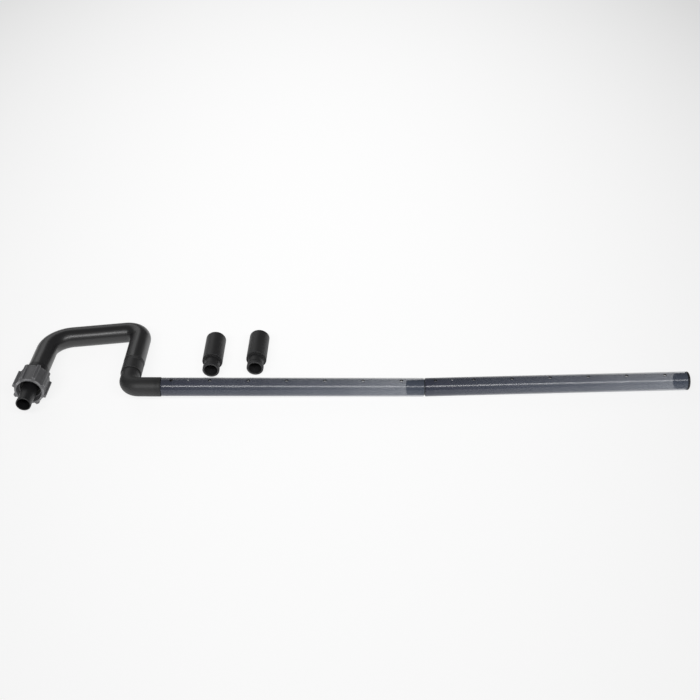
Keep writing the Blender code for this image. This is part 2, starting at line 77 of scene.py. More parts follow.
def bentLine(corners, bends, up, step=4.0):
    legs, rings, s, here = [], [], 0.0, corners[0]
    for before, corner, after, radius in zip(corners, corners[1:], corners[2:], bends):
        back, ahead = (before - corner).normalized(), (after - corner).normalized()
        half = back.angle(ahead) / 2
        swing = math.pi - 2 * half
        start = corner + back * (radius / math.tan(half))
        centre = corner + (back + ahead).normalized() * (radius / math.sin(half))
        legs.append((s, here, -back, None, 0.0))
        s += (start - here).length
        legs.append((s, start, -back, centre, radius))
        count = math.ceil(math.degrees(swing) / step)
        rings += [s + swing * radius * k / count for k in range(count + 1)]
        s += swing * radius
        here = corner + ahead * (radius / math.tan(half))
    legs.append((s, here, (corners[-1] - here).normalized(), None, 0.0))

    def at(place):
        start, point, heading, centre, radius = [leg for leg in legs if leg[0] <= max(place, 0)][-1]
        if centre is None:
            return point + heading * (place - start), up.cross(heading), up
        angle = (place - start) / radius
        spoke = (point - centre) / radius
        middle = centre + (spoke * math.cos(angle) + heading * math.sin(angle)) * radius
        turnedHeading = heading * math.cos(angle) - spoke * math.sin(angle)
        return middle, up.cross(turnedHeading), up

    return {"at": at, "rings": rings, "length": s + (corners[-1] - here).length}


# Outlines are closed loops of (radius, place along the line), and a third value is a corner's own rounding

def walk(line, radius, start, stop, step=0.0):
    low, high = min(start, stop), max(start, stop)
    between = [r for r in line["rings"] if low + 0.05 < r < high - 0.05]
    if step:
        count = math.ceil((high - low) / step)
        between += [low + (high - low) * k / count for k in range(1, count)]
    between.sort(reverse=stop < start)
    return [(radius, start), *((radius, r) for r in between), (radius, stop)]


def soften(outline, edge, steps=4):
    softened = []
    for i, point in enumerate(outline):
        here = Vector(point[:2])
        back = Vector(outline[i - 1][:2]) - here
        ahead = Vector(outline[(i + 1) % len(outline)][:2]) - here
        want = point[2] if len(point) > 2 else edge
        half = back.angle(ahead, math.pi) / 2
        if want == 0 or point[0] <= 0 or half > math.radians(82):
            softened.append(tuple(here))
            continue
        reach = min(want / math.tan(half), 0.8 * back.length, 0.8 * ahead.length)
        radius = reach * math.tan(half)
        centre = here + (back.normalized() + ahead.normalized()).normalized() * (radius / math.sin(half))
        first = here + back.normalized() * reach - centre
        last = here + ahead.normalized() * reach - centre
        for k in range(steps + 1):
            softened.append(tuple(centre + first.slerp(last, k / steps) * radius))
    return softened


def evenAngles(count, marks=(), spread=(0.25, 0.5, 0.9), radius=10.0):
    angles = [fullTurn * k / count for k in range(count)]
    for mark in marks:  # closer together at a mark, such as a mould line
        near = [mark + way * gap / radius for gap in spread for way in (-1, 1)]
        angles = [a for a in angles if abs((a - mark + math.pi) % fullTurn - math.pi) > 1.1 / radius]
        angles += [a % fullTurn for a in (mark, *near)]
    return sorted(angles)


def turnedMesh(name, line, outline, angles, shape=None, ends=False):
    rows, columns = len(outline), len(angles)
    points, lengths, length = [], [], 0.0
    for i, (radius, along) in enumerate(outline):
        centre, side, across = line["at"](along)
        for angle in angles:
            reach = shape(radius, along, angle) if shape else radius
            points.append((centre + (side * math.cos(angle) + across * math.sin(angle)) * reach) * mm)
        if i:
            length += math.dist(outline[i], outline[i - 1])
        lengths.append(length)
    lengths.append(length + math.dist(outline[0], outline[-1]))
    around = max(radius for radius, _ in outline)
    turns = [*angles, angles[0] + fullTurn]
    faces, places = [], []
    for i in range(rows):
        below = (i + 1) % rows
        for j in range(columns - 1 if ends else columns):
            beside = (j + 1) % columns
            faces.append((i * columns + j, i * columns + beside,
                          below * columns + beside, below * columns + j))
            left, right = turns[j] * around, turns[j + 1] * around
            here, there = lengths[i], lengths[i + 1]
            places += [(left, here), (right, here), (right, there), (left, there)]
    if ends:
        for j in (0, columns - 1):
            faces.append([i * columns + j for i in range(rows)])
            places += [(radius, along) for radius, along in outline]
    mesh = bpy.data.meshes.new(name)
    mesh.from_pydata(points, [], faces)
    layer = mesh.uv_layers.new(name="surface")  # millimetres round and along, as metres
    for corner, (u, v) in zip(layer.data, places):
        corner.uv = (u * mm, v * mm)
    work = bmesh.new()
    work.from_mesh(mesh)
    bmesh.ops.remove_doubles(work, verts=work.verts, dist=2e-7)
    bmesh.ops.recalc_face_normals(work, faces=work.faces)
    work.to_mesh(mesh)
    work.free()
    return mesh


def addPiece(name, mesh, material, body, slot, *nodes):
    piece = bpy.data.objects.new(name, mesh)
    bpy.context.scene.collection.objects.link(piece)
    if not mesh.materials:
        mesh.materials.append(material)
    mesh.shade_smooth()
    mesh.set_sharp_from_angle(angle=math.radians(38))
    even = piece.modifiers.new("evenShading", "WEIGHTED_NORMAL")
    even.keep_sharp = True
    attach(piece, body)
    if nodes:
        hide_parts(*nodes)
    return piece


def drilled(mesh, cutters):
    host = bpy.data.objects.new("host", mesh)
    bpy.context.scene.collection.objects.link(host)
    helpers = []
    for cutter in cutters:
        helper = bpy.data.objects.new("drill", cutter)
        bpy.context.scene.collection.objects.link(helper)
        cut = host.modifiers.new("cut", "BOOLEAN")
        cut.object, cut.operation, cut.solver = helper, "DIFFERENCE", "EXACT"
        cut.material_mode = "TRANSFER"
        helpers.append(helper)
    bpy.context.view_layer.update()
    result = bpy.data.meshes.new_from_object(host.evaluated_get(bpy.context.evaluated_depsgraph_get()))
    for helper in [host, *helpers]:
        bpy.data.objects.remove(helper)
    result.name = mesh.name
    return result


def ease(low, high, value):
    t = min(max((value - low) / (high - low), 0.0), 1.0)
    return t * t * (3 - 2 * t)


def mouldLine(height, *marks):
    # a hair of flash where the two halves of the mould met
    def shape(radius, along, angle):
        near = min(abs((angle - mark + math.pi) % fullTurn - math.pi) for mark in marks) * radius
        return radius + height * (1 - ease(0.05, 0.5, near)) * (radius > mouldLineFrom)
    return shape


mouldLineFrom = 7.5


# Materials

noiseSpan = (0.3, 0.7)  # the part of a noise's values that is spread over a range


class Shading:
    # a short way to write a node material
    def __init__(self, name):
        self.material = bpy.data.materials.new(name)
        self.material.use_nodes = True
        self.tree = self.material.node_tree
        self.shader = self.tree.nodes["Principled BSDF"]
        self.column = 0

    def node(self, kind, **settings):
        made = self.tree.nodes.new("ShaderNode" + kind)
        self.column -= 1
        made.location = (self.column * 180, 0)
        for key, value in settings.items():
            setattr(made, key, value)
        return made

    def link(self, source, target):
        self.tree.links.new(source, target)

    def coordinates(self, stretch=(1, 1, 1), surface=True, shift=(0, 0, 0)):
        # surface coordinates run round and along a piece, object ones through it
        source = self.node("UVMap", uv_map="surface") if surface else self.node("TexCoord")
        scale = self.node("Mapping")
        scale.inputs["Scale"].default_value = stretch
        scale.inputs["Location"].default_value = shift
        self.link(source.outputs["UV" if surface else "Object"], scale.inputs["Vector"])
        return scale.outputs["Vector"]

    def noise(self, vector, scale, detail=3.0, roughness=0.55):
        made = self.node("TexNoise")
        made.inputs["Scale"].default_value = scale
        made.inputs["Detail"].default_value = detail
        made.inputs["Roughness"].default_value = roughness
        self.link(vector, made.inputs["Vector"])
        return made.outputs["Fac"]

    def spread(self, value, low, high, start, stop):
        made = self.node("MapRange")
        for socket, number in zip(("From Min", "From Max", "To Min", "To Max"), (low, high, start, stop)):
            made.inputs[socket].default_value = number
        self.link(value, made.inputs["Value"])
        return made.outputs["Result"]

    def blend(self, factor, first, second):
        made = self.node("Mix", data_type="RGBA")
        self.link(factor, made.inputs["Factor"])
        for socket, colour in ((made.inputs[6], first), (made.inputs[7], second)):
            if isinstance(colour, tuple):
                socket.default_value = (*colour, 1.0)
            else:
                self.link(colour, socket)
        return made.outputs[2]

    def math(self, operation, first, second):
        made = self.node("Math", operation=operation)
        for socket, value in zip(made.inputs, (first, second)):
            if isinstance(value, (int, float)):
                socket.default_value = value
            else:
                self.link(value, socket)
        return made.outputs[0]

    def bump(self, height, distance, strength=1.0):
        made = self.node("Bump")
        made.inputs["Distance"].default_value = distance
        made.inputs["Strength"].default_value = strength
        self.link(height, made.inputs["Height"])
        self.link(made.outputs["Normal"], self.shader.inputs["Normal"])
        return made

    def feed(self, socket, value):
        self.link(value, self.shader.inputs[socket])

    def fix(self, **values):
        for socket, value in values.items():
            self.shader.inputs[socket.replace("_", " ")].default_value = value


def paleEdges(shading, clean, edge, low, high):
    # edges made paler where the mesh's pointiness is high
    pointiness = shading.node("NewGeometry").outputs["Pointiness"]
    return shading.blend(shading.spread(pointiness, low, high, 0.0, 1.0), clean, edge)


def plastic(name, look):
    shading = Shading(name)
    patches = shading.noise(shading.coordinates(surface=False), look["patchScale"])
    colour = shading.blend(shading.spread(patches, 0.35, 0.65, 0, 1), look["colour"], look["paler"])
    colour = paleEdges(shading, colour, look["edge"], *look["edgeFrom"])
    shading.feed("Base Color", colour)
    grain = shading.noise(shading.coordinates(look["stretch"]), look["grainScale"], 4.0)
    rubbed = shading.spread(patches, *noiseSpan, *look["roughness"])
    shading.feed("Roughness", shading.math("ADD", rubbed, shading.spread(grain, *noiseSpan, -0.03, 0.03)))
    shading.bump(grain, look["grainDepth"])
    shading.fix(IOR=look["ior"], Specular_IOR_Level=look["shine"])
    return shading.material


pipeLook = {
    "colour": (0.014, 0.014, 0.015), "paler": (0.019, 0.019, 0.020), "edge": (0.04, 0.04, 0.042),
    "edgeFrom": (0.52, 0.6), "patchScale": 14.0, "stretch": (1.0, 0.04, 1.0), "grainScale": 900.0,
    "grainDepth": 0.000004, "roughness": (0.31, 0.38), "ior": 1.62, "shine": 0.5,
}
mouldedLook = {
    "colour": (0.017, 0.017, 0.018), "paler": (0.024, 0.024, 0.025), "edge": (0.06, 0.06, 0.062),
    "edgeFrom": (0.52, 0.62), "patchScale": 22.0, "stretch": (1.0, 1.0, 1.0), "grainScale": 2600.0,
    "grainDepth": 0.00001, "roughness": (0.46, 0.54), "ior": 1.52, "shine": 0.5,
}
nutLook = {
    "colour": (0.10, 0.10, 0.105), "paler": (0.13, 0.13, 0.135), "edge": (0.32, 0.32, 0.33),
    "edgeFrom": (0.505, 0.57), "patchScale": 60.0, "stretch": (1.0, 1.0, 1.0), "grainScale": 2200.0,
    "grainDepth": 0.00002, "roughness": (0.42, 0.52), "ior": 1.5, "shine": 0.5,
}
rubberLook = {
    "colour": (0.012, 0.012, 0.012), "paler": (0.02, 0.02, 0.02), "edge": (0.03, 0.03, 0.03),
    "edgeFrom": (0.55, 0.7), "patchScale": 90.0, "stretch": (1.0, 1.0, 1.0), "grainScale": 3000.0,
    "grainDepth": 0.00005, "roughness": (0.62, 0.75), "ior": 1.5, "shine": 0.4,
}
tailLook = {
    **mouldedLook,
    "colour": (0.009, 0.009, 0.010), "paler": (0.013, 0.013, 0.014), "edge": (0.035, 0.035, 0.037),
    "roughness": (0.4, 0.5),
}
pipeBlack = plastic("pipeBlack", pipeLook)
tailBlack = plastic("tailBlack", tailLook)
mouldedBlack = plastic("mouldedBlack", mouldedLook)
nutGrey = plastic("nutGrey", nutLook)
sealRubber = plastic("sealRubber", rubberLook)

smokyLook = {
    "dark": (0.060, 0.066, 0.094), "light": (0.135, 0.16, 0.215), "thick": 0.74, "thin": 0.37,
    "edge": (0.97, 0.5), "roughness": (0.17, 0.19), "streakScale": 1400.0,
    # the two hole colours are painted shade: near-black walls for the drilled holes
    "paintedHoleShade": (0.003, 0.003, 0.004), "paintedHoleShadeMottle": (0.008, 0.008, 0.01),
}


def smokyPlastic(name, start, stop):
    # the wall is thicker, so darker, at the spigot end and thins towards the socket end
    shading = Shading(name)
    place = shading.node("SeparateXYZ")
    shading.link(shading.coordinates(surface=False), place.inputs["Vector"])
    thinning = shading.spread(place.outputs["X"], start * mm, stop * mm, 0.0, 1.0)
    clouds = shading.noise(shading.coordinates(surface=False), 30.0)
    thinning = shading.math("ADD", thinning, shading.spread(clouds, *noiseSpan, -0.05, 0.05))
    shading.feed("Base Color", shading.blend(thinning, smokyLook["dark"], smokyLook["light"]))
    clear = shading.spread(thinning, 0.0, 1.0, smokyLook["thick"], smokyLook["thin"])
    facing = shading.node("LayerWeight")  # a tube is denser where the eye meets its wall edge on
    edge = shading.spread(facing.outputs["Facing"], smokyLook["edge"][1], 1.0, 0.0, smokyLook["edge"][0])
    shading.feed("Alpha", shading.math("MAXIMUM", clear, edge))
    streaks = shading.noise(shading.coordinates((1.0, 0.01, 1.0)), smokyLook["streakScale"])
    shading.feed("Roughness", shading.spread(streaks, *noiseSpan, *smokyLook["roughness"]))
    shading.fix(IOR=1.6)
    return shading.material


# painted shade inside the drilled holes: near-black walls with almost no reflection, so each hole reads dark
def holeWallPaintedShade():
    shading = Shading("holeWallPaintedShade")
    mottle = shading.noise(shading.coordinates(surface=False), 900.0)
    shading.feed("Base Color", shading.blend(mottle, smokyLook["paintedHoleShade"], smokyLook["paintedHoleShadeMottle"]))
    shading.feed("Roughness", shading.spread(mottle, *noiseSpan, 0.5, 0.65))
    shading.fix(Specular_IOR_Level=0.05)
    return shading.material


def paleMark():
    shading = Shading("gateScar")
    mottle = shading.noise(shading.coordinates(surface=False), 4000.0)
    shading.feed("Base Color", shading.blend(mottle, (0.3, 0.3, 0.31), (0.5, 0.5, 0.5)))
    shading.feed("Roughness", shading.spread(mottle, *noiseSpan, 0.4, 0.7))
    return shading.material


gateScar = paleMark()
holeShade = holeWallPaintedShade()
print("materials made")


# O-rings

seal = {"section": 0.6, "sides": 16, "fromShoulder": 7.0, "groove": 0.7}


def addSeal(name, line, place, radius, body, node):
    section = seal["section"]
    circle = [fullTurn * -k / seal["sides"] for k in range(seal["sides"])]
    outline = [(radius + section * math.cos(a), place + section * math.sin(a)) for a in circle]
    addPiece(name, turnedMesh(name, line, outline, evenAngles(96)), sealRubber, body, "rubber", node)


def sealGroove(surface, place, floor):
    half = seal["groove"]
    return [(surface, place + half, 0.1), (floor, place + half, 0.15),
            (floor, place - half, 0.15), (surface, place - half, 0.1)]


# Perforated bars, with their spigots

bar = {
    "radius": 10.0, "wall": 1.3, "length": 282.0, "gap": 0.9, "endRound": 1.1,
    "holeRadius": 1.4, "holeFlare": 0.5, "holes": 7, "holePitch": 41.0, "holeStart": 11.3, "holeLean": 6.0,
    "gateScar": 29.3, "scarRadius": 0.85, "scarHeight": 0.12, "steps": 112,
}
spigot = {"reach": 19.6, "wall": 1.6, "play": 0.35, "root": 10.0, "fit": 0.3, "tip": 7.67, "tipRound": 0.5}
socketRadius = bar["radius"] - bar["wall"]
sealRadius = socketRadius - 0.1 - spigot["fit"] - seal["section"]
nearLine = straightLine(barJoint, nearHeading, nearHeading.cross(Vector((0, 1, 0))) * -1)
farLine = straightLine(barJoint, farHeading, farHeading.cross(Vector((0, 1, 0))) * -1)


def holeLine(line, along):
    # a drill axis that leaves the bar's top, leaning a little to the front
    centre, side, across = line["at"](along)
    lean = math.radians(bar["holeLean"])
    return straightLine(centre, -side * math.cos(lean) - across * math.sin(lean), across)


def addBar(number, line, start):
    name, node = f"bar{number}", f"bar_{number}"
    stop = start + bar["length"]
    outer, inner = bar["radius"], socketRadius
    spots = [start + bar["holeStart"] + k * bar["holePitch"] for k in range(bar["holes"])]
    stations = sorted(spot + way for spot in spots for way in (-2.6, 2.6))
    outline = soften([(outer, stop, bar["endRound"]), (outer, start, bar["endRound"]),
                      (inner, start, 0.2), (inner, stop, 0.2)], 0.2)
    middle = next(i for i, p in enumerate(outline) if p[1] < (start + stop) / 2)
    inside = next(i for i, p in enumerate(outline) if i > middle and p[1] > (start + stop) / 2)
    outline[inside:inside] = [(inner, s) for s in stations]
    outline[middle:middle] = [(outer, s) for s in reversed(stations)]
    tube = turnedMesh(name, line, outline, evenAngles(bar["steps"]))
    flare, radius = bar["holeFlare"], bar["holeRadius"]
    cutter = [(radius + flare * 2, outer + 1), (radius + flare, outer + 0.02), (radius, outer - flare),
              (radius, inner - 1), (0, inner - 1), (0, outer + 1)]
    drills = [turnedMesh("drill", holeLine(line, spot), cutter, evenAngles(24)) for spot in spots]
    shade = smokyPlastic(f"smokyBlue{number}", (line["at"](start)[0]).x, (line["at"](stop)[0]).x)
    tube.materials.append(shade)
    # each drill gives its hole wall and flared countersink the painted hole shade
    for drill in drills:
        drill.materials.append(holeShade)
    addPiece(name, drilled(tube, drills), shade, node, "smoky_blue", node)

    scar = soften([(bar["scarRadius"], outer + bar["scarHeight"]), (bar["scarRadius"], outer - 0.3),
                   (0, outer - 0.3), (0, outer + bar["scarHeight"] * 1.2)], 0.1)
    scarMesh = turnedMesh(f"{name}GateScar", holeLine(line, start + bar["gateScar"]), scar, evenAngles(20))
    addPiece(f"{name}GateScar", scarMesh, gateScar, node, "smoky_blue")
    addSpigot(name, node, line, start)


def addSpigot(name, node, line, start):
    root = socketRadius - spigot["fit"]
    widest, tip = socketRadius - spigot["play"], start - spigot["reach"]
    ringAt = start - seal["fromShoulder"]
    slope = (widest - spigot["tip"]) / spigot["reach"]
    above = widest - slope * (seal["fromShoulder"] - seal["groove"])
    below = widest - slope * (seal["fromShoulder"] + seal["groove"])
    floor = min(sealRadius - seal["section"] - 0.1, below - seal["section"])
    bore = spigot["tip"] - spigot["wall"]
    outline = soften([
        (root, start + spigot["root"]), (root, start + bar["endRound"]), (widest, start),
        (above, ringAt + seal["groove"], 0.1), (floor, ringAt + seal["groove"], 0.15),
        (floor, ringAt - seal["groove"], 0.15), (below, ringAt - seal["groove"], 0.1),
        (spigot["tip"], tip, spigot["tipRound"]), (bore, tip, 0.3), (bore, start + spigot["root"], 0.3),
    ], 0.15)
    mesh = turnedMesh(f"{name}Spigot", line, outline, evenAngles(96))
    addPiece(f"{name}Spigot", mesh, mouldedBlack, node, "moulded_black", f"{node}_spigot")
    addSeal(f"{name}Seal", line, ringAt, sealRadius, f"{node}_ring", f"{node}_o_ring")


addBar(1, nearLine, -bar["length"] - bar["gap"] / 2)
addBar(2, farLine, bar["gap"] / 2)
print("bars made")


# End plug

plug = {"reach": 12.0, "flange": 1.8, "edge": 1.3, "faceGap": 0.4}


def addPlug():
    shoulder = bar["gap"] / 2 + bar["length"] + plug["faceGap"]
    insert, face = socketRadius - spigot["fit"], shoulder + plug["flange"]
    ringAt = shoulder - seal["fromShoulder"]
    floor = min(sealRadius - seal["section"] - 0.1, insert - seal["section"])
    hollow, back = floor - spigot["wall"], shoulder - plug["reach"]
    rim = bar["radius"]
    outline = soften([
        (0, face - 0.35), (rim * 0.55, face - 0.35), (rim * 0.66, face, 0.3), (rim, face, plug["edge"]),
        (rim, shoulder, 0.25),
        (insert, shoulder), *sealGroove(insert, ringAt, floor),
        (insert, back, spigot["tipRound"]), (hollow, back),
        (hollow, shoulder - spigot["wall"], 0.6), (0, shoulder - spigot["wall"]),
    ], 0.2)
    mesh = turnedMesh("endPlug", farLine, outline, evenAngles(96))
    addPiece("endPlug", mesh, mouldedBlack, "end_plug", "moulded_black", "end_plug")
    addSeal("plugSeal", farLine, ringAt, sealRadius, "plug_ring", "plug_o_ring")


addPlug()


# Bent outlet pipe

pipe = {
    "radius": 11.56, "wall": 2.3, "rightLeg": 111.4, "spacing": 103.7, "topSkew": 5.85, "splay": 0.9,
    "rightBend": 17.0, "leftBend": 28.0, "rightCut": 44.5, "leftCut": 37.0, "rim": 0.45,
}


def addPipe():
    splay = math.tan(math.radians(pipe["splay"]))
    leftTop = pipe["rightLeg"] - pipe["spacing"] * math.tan(math.radians(pipe["topSkew"]))
    leftBase = -pipe["spacing"] - leftTop * splay
    flat = [(0, pipe["rightCut"]), (0, pipe["rightLeg"]), (-pipe["spacing"], leftTop),
            (leftBase + pipe["leftCut"] * splay, pipe["leftCut"])]
    corners = [elbowCorner + toRight * x + toTop * y for x, y in flat]
    line = bentLine(corners, (pipe["rightBend"], pipe["leftBend"]), bendUp)
    inner, length = pipe["radius"] - pipe["wall"], line["length"]
    outline = walk(line, pipe["radius"], 0, length) + walk(line, inner, length, 0)
    mesh = turnedMesh("bentPipe", line, soften(outline, pipe["rim"]), evenAngles(112))
    addPiece("bentPipe", mesh, pipeBlack, "outlet_pipe", "satin_black", "u_bend")


addPipe()
print("bent pipe made")


# Coupling and elbow

coupling = {
    "radius": 11.4, "end": 23.0, "insert": 14.0, "reach": 13.0, "fit": 0.3, "bore": 6.0,
    "ringLines": (0.9, 2.9, 4.2), "ringDepth": 0.45, "ringWidth": 0.8,
}
elbow = {
    "radius": 10.45, "bend": 11.8, "arm": 36.0, "bore": 6.6, "faceGap": 0.4, "spare": 2.0,
    "armLines": (1.2, 2.3, 3.4, 4.5, 5.6), "lineDepth": 0.16, "lineWidth": 0.36, "flash": 0.05, "draft": 0.22,
}
rightLine = straightLine(elbowCorner, rightHeading, toRight)


def ringLines(radius, places, depth, width, way):
    # shallow grooves turned into a face, in the order that the outline runs
    cut = []
    for place in places:
        cut += [(radius, place - way * width / 2, 0.06), (radius - depth, place - way * width / 4, 0.06),
                (radius - depth, place + way * width / 4, 0.06), (radius, place + way * width / 2, 0.06)]
    return cut


def addCoupling():
    rear, front = -pipe["rightCut"] + elbow["faceGap"], -coupling["end"]
    insert = pipe["radius"] - pipe["wall"] - coupling["fit"]
    neck, radius = socketRadius - spigot["play"], coupling["radius"]
    ringAt = front + seal["fromShoulder"]
    floor = sealRadius - seal["section"] - 0.1
    lines = [rear + place for place in reversed(coupling["ringLines"])]
    outline = soften([
        (neck, front + coupling["reach"], spigot["tipRound"]),
        *sealGroove(neck, ringAt, floor), (neck, front),
        (radius, front, 0.5), *ringLines(radius, lines, coupling["ringDepth"], coupling["ringWidth"], -1),
        (radius, rear, 0.5), (insert, rear), (insert, rear - coupling["insert"], 0.4),
        (coupling["bore"], rear - coupling["insert"]), (coupling["bore"], front + coupling["reach"], 0.3),
    ], 0.2)
    marks = (0.0, math.pi)
    mesh = turnedMesh("couplingTube", rightLine, outline, evenAngles(96, marks), mouldLine(0.05, *marks))
    addPiece("couplingTube", mesh, mouldedBlack, "outlet_pipe", "moulded_black", "coupling")
    addSeal("couplingSeal", rightLine, ringAt, sealRadius, "coupling_ring", "coupling_o_ring")


def addElbow():
    neckFace, arm = coupling["end"] - elbow["faceGap"], elbow["arm"]
    up = nearHeading.cross(toTop).normalized()
    corners = [elbowCorner + toTop * neckFace, elbowCorner, elbowCorner + nearHeading * arm]
    line = bentLine(corners, (elbow["bend"],), up, 3.0)
    length, radius, bore = line["length"], elbow["radius"], elbow["bore"]
    neckDepth = coupling["reach"] + elbow["spare"]
    armDepth = length - spigot["reach"] - elbow["spare"]
    lines = [length - place for place in reversed(elbow["armLines"])]
    draft = elbow["draft"]
    tube = [(radius - draft * (1 - s / length), s) for _, s in walk(line, radius, 0, length)[1:-1]]
    outline = [(radius - draft, 0, 0.35), *tube,
               *ringLines(radius, lines, elbow["lineDepth"], elbow["lineWidth"], 1),
               (radius, length, 0.35), (socketRadius, length, 0.35), (socketRadius, armDepth),
               *walk(line, bore, armDepth, neckDepth), (socketRadius, neckDepth), (socketRadius, 0, 0.35)]
    marks = (0.0, math.pi)
    mesh = turnedMesh("elbowTube", line, soften(outline, 0.2), evenAngles(96, marks),
                      mouldLine(elbow["flash"], *marks))
    addPiece("elbowTube", mesh, mouldedBlack, "elbow", "moulded_black", "elbow")


addCoupling()
addElbow()
print("coupling and elbow made")


# Hose tail, with its thread and gasket

tail = {
    "insert": 14.0, "collar": 12.4, "core": 12.9, "crest": 14.1, "pitch": 3.5, "turns": 3, "half": 0.9,
    "bore": 6.9, "stub": 8.1, "neck": 7.9, "lip": 3.0, "end": 25.9, "shoulder": 8.6, "gasket": 1.6,
    "nutRear": 24.3, "collarGap": 1.2, "crestFlat": 0.8, "fade": 0.9,
}
leftLine = straightLine(leftStart, leftHeading, bendUp.cross(leftHeading))
threadStart = -tail["shoulder"] - 0.5 - tail["half"] - tail["turns"] * tail["pitch"]


def ridge(along, angle, first, turns):
    # how far up a helical ridge this place is, from 0 beside it to 1 on its crest
    best = 0.0
    for k in range(turns):
        wound = angle % fullTurn / fullTurn + k
        away = abs(along - first - tail["pitch"] * wound) / tail["half"]
        fade = ease(0, 0.12, wound) * ease(0, 0.12, turns - wound)
        best = max(best, min(1.0, (1 - away) / tail["crestFlat"]) * fade)
    return best


def addTail():
    rear = -pipe["leftCut"] + elbow["faceGap"]
    insert = pipe["radius"] - pipe["wall"] - coupling["fit"]
    collarEnd, shoulder = -tail["nutRear"] - tail["collarGap"], -tail["shoulder"]
    core, stub, end = tail["core"], tail["stub"], tail["end"]
    bead = end - tail["lip"]
    smooth = soften([
        (tail["bore"], end, 0), (stub, end, 0.4), (stub, bead, 0.3), (tail["neck"], bead - 0.5, 0.3),
        (stub, shoulder + tail["gasket"] + 0.8, 1.0), (stub, shoulder, 0.2),
        (core, shoulder, 0.5), (core, collarEnd, 0),
    ], 0.2)[1:-1]
    behind = soften([
        (core, shoulder, 0), (core, collarEnd, 0.1),
        (tail["collar"], collarEnd, 0.1), (tail["collar"], rear, 0.5),
        (insert, rear), (insert, rear - tail["insert"], 0.4),
        (tail["bore"], rear - tail["insert"]), (tail["bore"], end, 0.35),
        (stub, end, 0),
    ], 0.2)[1:-1]
    thread = walk(leftLine, core, shoulder - 0.6, collarEnd + 0.4, 0.22)

    def shape(radius, along, angle):
        if abs(radius - core) > 0.01 or not collarEnd < along < shoulder - 0.5:
            return radius
        return core + (tail["crest"] - core) * ridge(along, angle, threadStart, tail["turns"])

    mesh = turnedMesh("hoseTail", leftLine, smooth + thread + behind, evenAngles(96), shape)
    addPiece("hoseTail", mesh, tailBlack, "outlet_pipe", "moulded_black", "hose_tail")
    low = shoulder + elbow["faceGap"]
    ring = soften([(core - 1.5, low + tail["gasket"]), (core - 1.5, low), (stub + 0.3, low),
                   (stub + 0.3, low + tail["gasket"])], 0.3)
    addPiece("hoseGasket", turnedMesh("hoseGasket", leftLine, ring, evenAngles(96)), sealRubber,
             "outlet_pipe", "rubber", "hose_gasket")


addTail()


# Union nut and its split clamp ring

nut = {
    "rear": -24.3, "length": 27.0, "bore": 14.6, "valley": 15.9, "dish": 0.5, "dishRim": 1.1, "chamfer": 0.8,
    "ribs": 8, "ribTurn": 19.0, "ribRadius": 18.5, "ribWidth": 3.6, "ribSlope": 0.9, "ribEnd": 1.3,
    "mouth": 13.5, "lipRadius": 12.1, "lipDepth": 3.6, "lipThick": 1.6, "threadCrest": 13.3, "threadTurns": 2,
}
nutFront = nut["rear"] + nut["length"]
nutLip = nutFront - nut["lipDepth"] - nut["lipThick"]
clamp = {"outer": 14.3, "inner": 11.2, "slit": 2.0, "taper": 0.9, "teeth": 4, "toothDepth": 0.22}


def nutShape(radius, along, angle):
    if radius > nut["valley"] - nut["chamfer"] - 0.05:
        sector = fullTurn / nut["ribs"]
        off = (angle - math.radians(nut["ribTurn"]) + sector / 2) % sector - sector / 2
        away = abs(off) * nut["valley"]
        half, slope = nut["ribWidth"] / 2, nut["ribSlope"]
        fromEnd = min(nutFront - along, along - nut["rear"])
        side = 1 - ease(half - slope / 2, half + slope / 2, away)
        rib = (nut["ribRadius"] - nut["valley"]) * side * ease(0.1, nut["ribEnd"], fromEnd)
        rim = nut["dishRim"]
        dish = ease(half + slope / 2 + 0.2, half + slope / 2 + rim, away) * ease(rim, 2 * rim, fromEnd)
        return radius + rib - nut["dish"] * dish
    if abs(radius - nut["bore"]) < 0.01 and nut["rear"] + 0.4 < along < nutLip - 0.2:
        first = threadStart + tail["pitch"] / 2
        return radius - (nut["bore"] - nut["threadCrest"]) * ridge(along, angle, first, nut["threadTurns"])
    return radius


def addNut():
    valley, chamfer, rear = nut["valley"], nut["chamfer"], nut["rear"]
    near = [0.12, 0.25, 0.4, 0.6, 0.85, 1.1, 1.4, 1.8, 2.3, 3.0]
    ends = [chamfer + gap for gap in near]
    outer = [(valley, nutFront - gap) for gap in ends] + [(valley, nutFront - 9), (valley, nutFront - 18)]
    outer += [(valley, rear + gap) for gap in reversed(ends)]
    outline = [(valley - chamfer, nutFront), (valley - chamfer / 3, nutFront - chamfer / 3),
               (valley, nutFront - chamfer), *outer, (valley, rear + chamfer),
               (valley - chamfer / 3, rear + chamfer / 3), (valley - chamfer, rear),
               (nut["bore"] + 0.3, rear), (nut["bore"], rear + 0.3),
               *walk(leftLine, nut["bore"], rear + 0.5, nutLip - 0.3, 0.25), (nut["bore"], nutLip - 0.1),
               (nut["bore"] - 0.1, nutLip)]
    mouth = soften([(nut["bore"], nutLip, 0), (nut["lipRadius"], nutLip, 0.3),
                    (nut["lipRadius"], nutFront - nut["lipDepth"], 0.5),
                    (nut["mouth"], nutFront, 0.25), (valley - chamfer, nutFront, 0)], 0.2)[1:-1]
    slope, half = nut["ribSlope"], nut["ribWidth"] / 2
    offsets = [0.0, half * 0.6]
    offsets += [half + slope * (k / 5 - 0.6) for k in range(7)]
    offsets += [half + slope / 2 + 0.2 + nut["dishRim"] * k / 3 for k in range(4)]
    sector = fullTurn / nut["ribs"]
    angles = set()
    for k in range(nut["ribs"]):
        middle = math.radians(nut["ribTurn"]) + k * sector
        for offset in offsets:
            angles |= {round((middle + way * offset / valley) % fullTurn, 6) for way in (-1, 1)}
        angles.add(round((middle + sector / 2) % fullTurn, 6))
    mesh = turnedMesh("unionNut", leftLine, outline + mouth, sorted(angles), nutShape)
    addPiece("unionNut", mesh, nutGrey, "union_nut", "nut_grey", "union_nut")


